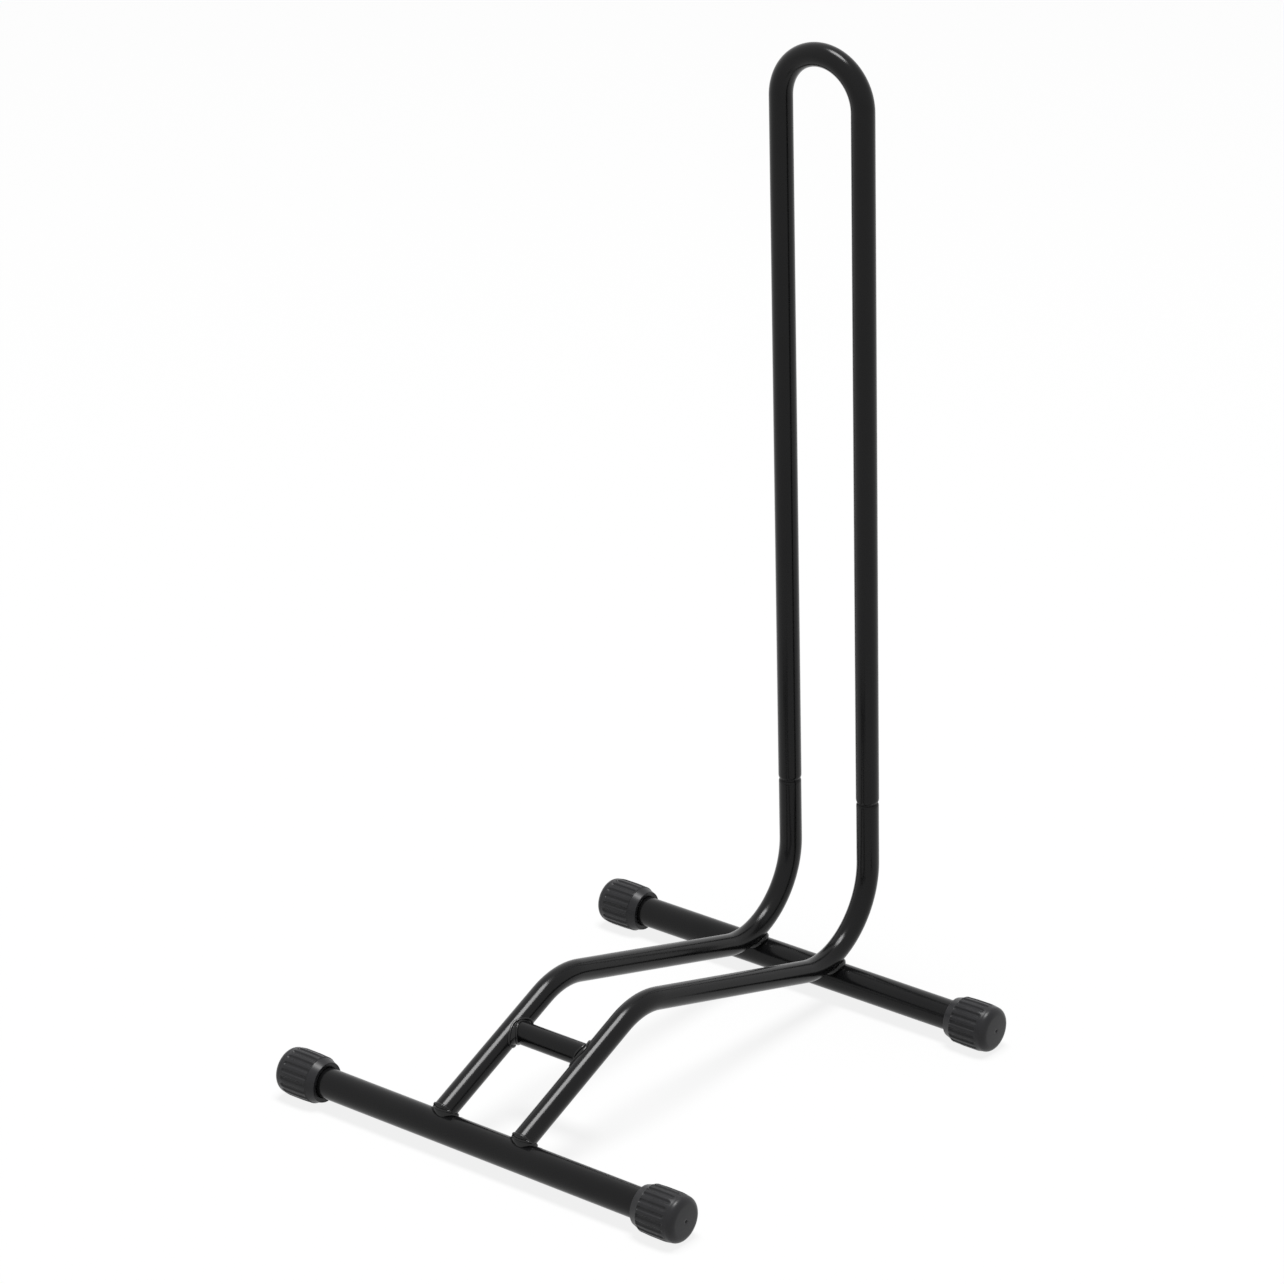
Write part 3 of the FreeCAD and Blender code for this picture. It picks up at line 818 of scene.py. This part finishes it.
# %% Relief: a broad ripple and a fine grain
relief, relief_in, relief_out = new_group(
    "surface_relief",
    [("Broad Size", 0.0015), ("Broad Height", 0.00001), ("Fine Size", 0.0003), ("Fine Height", 0.000002)],
    [("Height", "NodeSocketFloat")])
place = add(relief, "ShaderNodeTexCoord")
heights = []
for label, detail in (("Broad", 1.0), ("Fine", 2.0)):
    noise = noise_of(relief, place, relief_in.outputs[f"{label} Size"], detail)
    high = add(relief, "ShaderNodeMath", operation="MULTIPLY")
    relief.links.new(noise.outputs["Fac"], high.inputs[0])
    relief.links.new(relief_in.outputs[f"{label} Height"], high.inputs[1])
    heights.append(high)
total = add(relief, "ShaderNodeMath", operation="ADD")
relief.links.new(heights[0].outputs[0], total.inputs[0])
relief.links.new(heights[1].outputs[0], total.inputs[1])
relief.links.new(total.outputs[0], relief_out.inputs["Height"])
print("group", relief.name, "with", len(relief.nodes), "nodes")

# %% Unevenness: slow clouds of handling and dust, as a mask from 0 to 1
uneven, uneven_in, uneven_out = new_group(
    "uneven_film", [("Cloud Size", 0.03), ("Speck Size", 0.0012), ("Speck Share", 0.35)],
    [("Mask", "NodeSocketFloat")])
place = add(uneven, "ShaderNodeTexCoord")
layers = []
for label in ("Cloud", "Speck"):
    noise = noise_of(uneven, place, uneven_in.outputs[f"{label} Size"], 4.0)
    spread = add(uneven, "ShaderNodeMapRange")
    spread.inputs["From Min"].default_value = 0.3
    spread.inputs["From Max"].default_value = 0.7
    uneven.links.new(noise.outputs["Fac"], spread.inputs["Value"])
    layers.append(spread)
blend = add(uneven, "ShaderNodeMix", data_type="FLOAT")
uneven.links.new(uneven_in.outputs["Speck Share"], blend.inputs["Factor"])
uneven.links.new(layers[0].outputs["Result"], blend.inputs["A"])
uneven.links.new(layers[1].outputs["Result"], blend.inputs["B"])
uneven.links.new(blend.outputs["Result"], uneven_out.inputs["Mask"])
print("group", uneven.name, "with", len(uneven.nodes), "nodes")

# %% [markdown]
# ## The finishes
#
# Semi-gloss black paint is nearly black underneath: almost all that the eye gets is reflection. So the
# base colour is very dark and the look comes from the gloss: a soft roughness that spreads a lamp into a
# grey streak, and a faint orange peel. Moulded plastic is greyer and duller. The weld takes the same
# paint, with a coarser relief, since paint flows less smoothly over ripples and spatter.

# %% A finish from its numbers


def finish(name, dark, light, gloss, ior, relief_sizes, cloud, speck, bump_strength):
    """A Principled material: colour and roughness wander between two values, over a fine relief."""
    material = bpy.data.materials.new(name)
    material.use_nodes = True
    tree = material.node_tree
    shader = tree.nodes["Principled BSDF"]
    shader.inputs["IOR"].default_value = ior
    film = add(tree, "ShaderNodeGroup", node_tree=uneven)
    film.inputs["Cloud Size"].default_value = cloud
    film.inputs["Speck Size"].default_value = speck
    colour = add(tree, "ShaderNodeMix", data_type="RGBA")
    colour.inputs["A"].default_value = (*dark, 1)
    colour.inputs["B"].default_value = (*light, 1)
    tree.links.new(film.outputs["Mask"], colour.inputs["Factor"])
    tree.links.new(colour.outputs["Result"], shader.inputs["Base Color"])
    rough = add(tree, "ShaderNodeMapRange")
    rough.inputs["To Min"].default_value = gloss[0]
    rough.inputs["To Max"].default_value = gloss[1]
    tree.links.new(film.outputs["Mask"], rough.inputs["Value"])
    tree.links.new(rough.outputs["Result"], shader.inputs["Roughness"])
    surface = add(tree, "ShaderNodeGroup", node_tree=relief)
    for socket, value in zip(("Broad Size", "Broad Height", "Fine Size", "Fine Height"), relief_sizes):
        surface.inputs[socket].default_value = value
    bump = add(tree, "ShaderNodeBump")
    bump.inputs["Strength"].default_value = bump_strength
    bump.inputs["Distance"].default_value = 1.0
    tree.links.new(surface.outputs["Height"], bump.inputs["Height"])
    tree.links.new(bump.outputs["Normal"], shader.inputs["Normal"])
    return material


# %% Paint, weld and plastic
paint = finish(
    "semi_gloss_black_coat", dark=(0.0038, 0.0038, 0.0041), light=(0.0066, 0.0066, 0.0070),
    gloss=(0.17, 0.23), ior=1.28, relief_sizes=(0.0022, 0.000010, 0.0005, 0.0000012),
    cloud=0.040, speck=0.0015, bump_strength=0.6)
weld_paint = finish(
    "coat_over_weld", dark=(0.0038, 0.0038, 0.0041), light=(0.0070, 0.0070, 0.0074),
    gloss=(0.12, 0.19), ior=1.38, relief_sizes=(0.0016, 0.00006, 0.0005, 0.00001),
    cloud=0.010, speck=0.0015, bump_strength=0.7)
plastic = finish(
    "satin_black_plastic", dark=(0.0150, 0.0150, 0.0165), light=(0.0230, 0.0230, 0.0250),
    gloss=(0.30, 0.38), ior=1.31, relief_sizes=(0.0016, 0.000010, 0.00028, 0.000006),
    cloud=0.018, speck=0.0009, bump_strength=0.7)

for pieces, material, slot in ((coated, paint, "black_coat"), (beads, weld_paint, "black_coat"),
                               (caps, plastic, "black_plastic")):
    for piece in pieces:
        piece.data.materials.append(material)
print("finishes:", ", ".join(m.name for m in (paint, weld_paint, plastic)))

# %% [markdown]
# ## Floor, lamp and camera
#
# The photograph is a studio shot on white. The floor here is pale and plain, and it is partly a surface
# that glows white for the camera, which hides its horizon, and partly real white, which keeps a faint
# shadow. One wide soft lamp hangs high overhead: it draws the grey streaks along the slanted tubes. The
# white surroundings give the black paint its light edges.

# %% What the camera sees by itself or in a gloss


def seen_directly(tree):
    """A socket that is 1 for camera, glossy and transmission rays, and 0 for the rest."""
    path = add(tree, "ShaderNodeLightPath")
    seen = add(tree, "ShaderNodeMath", operation="MAXIMUM")
    seen_all = add(tree, "ShaderNodeMath", operation="MAXIMUM")
    tree.links.new(path.outputs["Is Camera Ray"], seen.inputs[0])
    tree.links.new(path.outputs["Is Glossy Ray"], seen.inputs[1])
    tree.links.new(seen.outputs[0], seen_all.inputs[0])
    tree.links.new(path.outputs["Is Transmission Ray"], seen_all.inputs[1])
    return seen_all.outputs[0]


# %% Floor
FLOOR_HALF = 12.0
FLOOR_WHITE = 0.9
FLOOR_GLOW_SHARE = 0.86
bm = bmesh.new()
corners = [bm.verts.new((x * FLOOR_HALF, y * FLOOR_HALF, 0))
           for x, y in ((-1, -1), (1, -1), (1, 1), (-1, 1))]
bm.faces.new(corners)
floor = put_mesh("studio_floor", bm)
floor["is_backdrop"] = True

white = bpy.data.materials.new("white_floor")
white.use_nodes = True
tree = white.node_tree
tree.nodes.clear()
out = add(tree, "ShaderNodeOutputMaterial")
matt = add(tree, "ShaderNodeBsdfDiffuse")
matt.inputs["Color"].default_value = (FLOOR_WHITE, FLOOR_WHITE, FLOOR_WHITE, 1)
glow = add(tree, "ShaderNodeEmission")
glow.inputs["Strength"].default_value = 1.0
glow_share = add(tree, "ShaderNodeMath", operation="MULTIPLY")
glow_share.inputs[1].default_value = FLOOR_GLOW_SHARE
mix = add(tree, "ShaderNodeMixShader")
tree.links.new(seen_directly(tree), glow_share.inputs[0])
tree.links.new(glow_share.outputs[0], mix.inputs["Fac"])
tree.links.new(matt.outputs[0], mix.inputs[1])
tree.links.new(glow.outputs[0], mix.inputs[2])
tree.links.new(mix.outputs[0], out.inputs["Surface"])
floor.data.materials.append(white)
print("floor", 2 * FLOOR_HALF, "m wide")

# %% World: white to the eye and to the gloss, softer as a lamp
SKY_AS_LAMP = 0.12
world = bpy.data.worlds.new("white_studio")
bpy.context.scene.world = world
world.use_nodes = True
tree = world.node_tree
tree.nodes.clear()
out = add(tree, "ShaderNodeOutputWorld")
as_lamp = add(tree, "ShaderNodeBackground")
as_lamp.inputs["Strength"].default_value = SKY_AS_LAMP
as_seen = add(tree, "ShaderNodeBackground")
for background in (as_lamp, as_seen):
    background.inputs["Color"].default_value = (1, 1, 1, 1)
mix = add(tree, "ShaderNodeMixShader")
tree.links.new(seen_directly(tree), mix.inputs["Fac"])
tree.links.new(as_lamp.outputs[0], mix.inputs[1])
tree.links.new(as_seen.outputs[0], mix.inputs[2])
tree.links.new(mix.outputs[0], out.inputs["Surface"])
print("world as a lamp:", SKY_AS_LAMP)

# %% The soft lamp overhead
LAMP_HEIGHT = 9.6
LAMP_LONG, LAMP_WIDE = 5.00, 3.30
LAMP_FORWARD = 0.15
LAMP_RADIANCE = 24.0
lamp_data = bpy.data.lights.new("overhead_softbox", "AREA")
lamp_data.shape = "ELLIPSE"
lamp_data.size, lamp_data.size_y = LAMP_LONG, LAMP_WIDE
# a flat lamp sends out pi times its radiance from each square metre of its ellipse
lamp_data.energy = LAMP_RADIANCE * math.pi * math.pi * LAMP_LONG * LAMP_WIDE / 4
lamp = put("overhead_softbox", lamp_data)
lamp.location = (0, LAMP_FORWARD, LAMP_HEIGHT)
print(f"lamp {lamp_data.energy:.0f} W")

# %% The camera, from a fit of the tubes' outlines in the photograph
IMAGE_PIXELS = 1284
FOCAL_PIXELS = 5057.2
SENSOR_WIDTH = 36.0
AZIMUTH, ELEVATION = math.radians(38.692), math.radians(22.391)
CAMERA_PLACE = Vector((2.2989, -2.8905, 1.8950))
camera_data = bpy.data.cameras.new("photo_camera")
camera_data.sensor_width = SENSOR_WIDTH
camera_data.lens = SENSOR_WIDTH * FOCAL_PIXELS / IMAGE_PIXELS
camera_data.clip_start, camera_data.clip_end = 0.1, 60
camera = put("photo_camera", camera_data)
camera.location = CAMERA_PLACE
camera.rotation_euler = (math.pi / 2 - ELEVATION, 0, AZIMUTH)
bpy.context.scene.camera = camera
bpy.context.scene.view_settings.view_transform = "Standard"
print(f"lens {camera_data.lens:.1f} mm, {CAMERA_PLACE.length:.2f} m away")

# %% [markdown]
# ## Last checks
#
# The box of the dressed stand is set against the box of the CAD model, in millimetres.

# %% Sizes, and the end
dressed_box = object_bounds()
grown = [round((v - c) * 1000, 3)
         for cad, dressed in zip(CAD_BOX, dressed_box) for c, v in zip(cad, dressed)]
print("visual box minus CAD box, in mm:", grown)
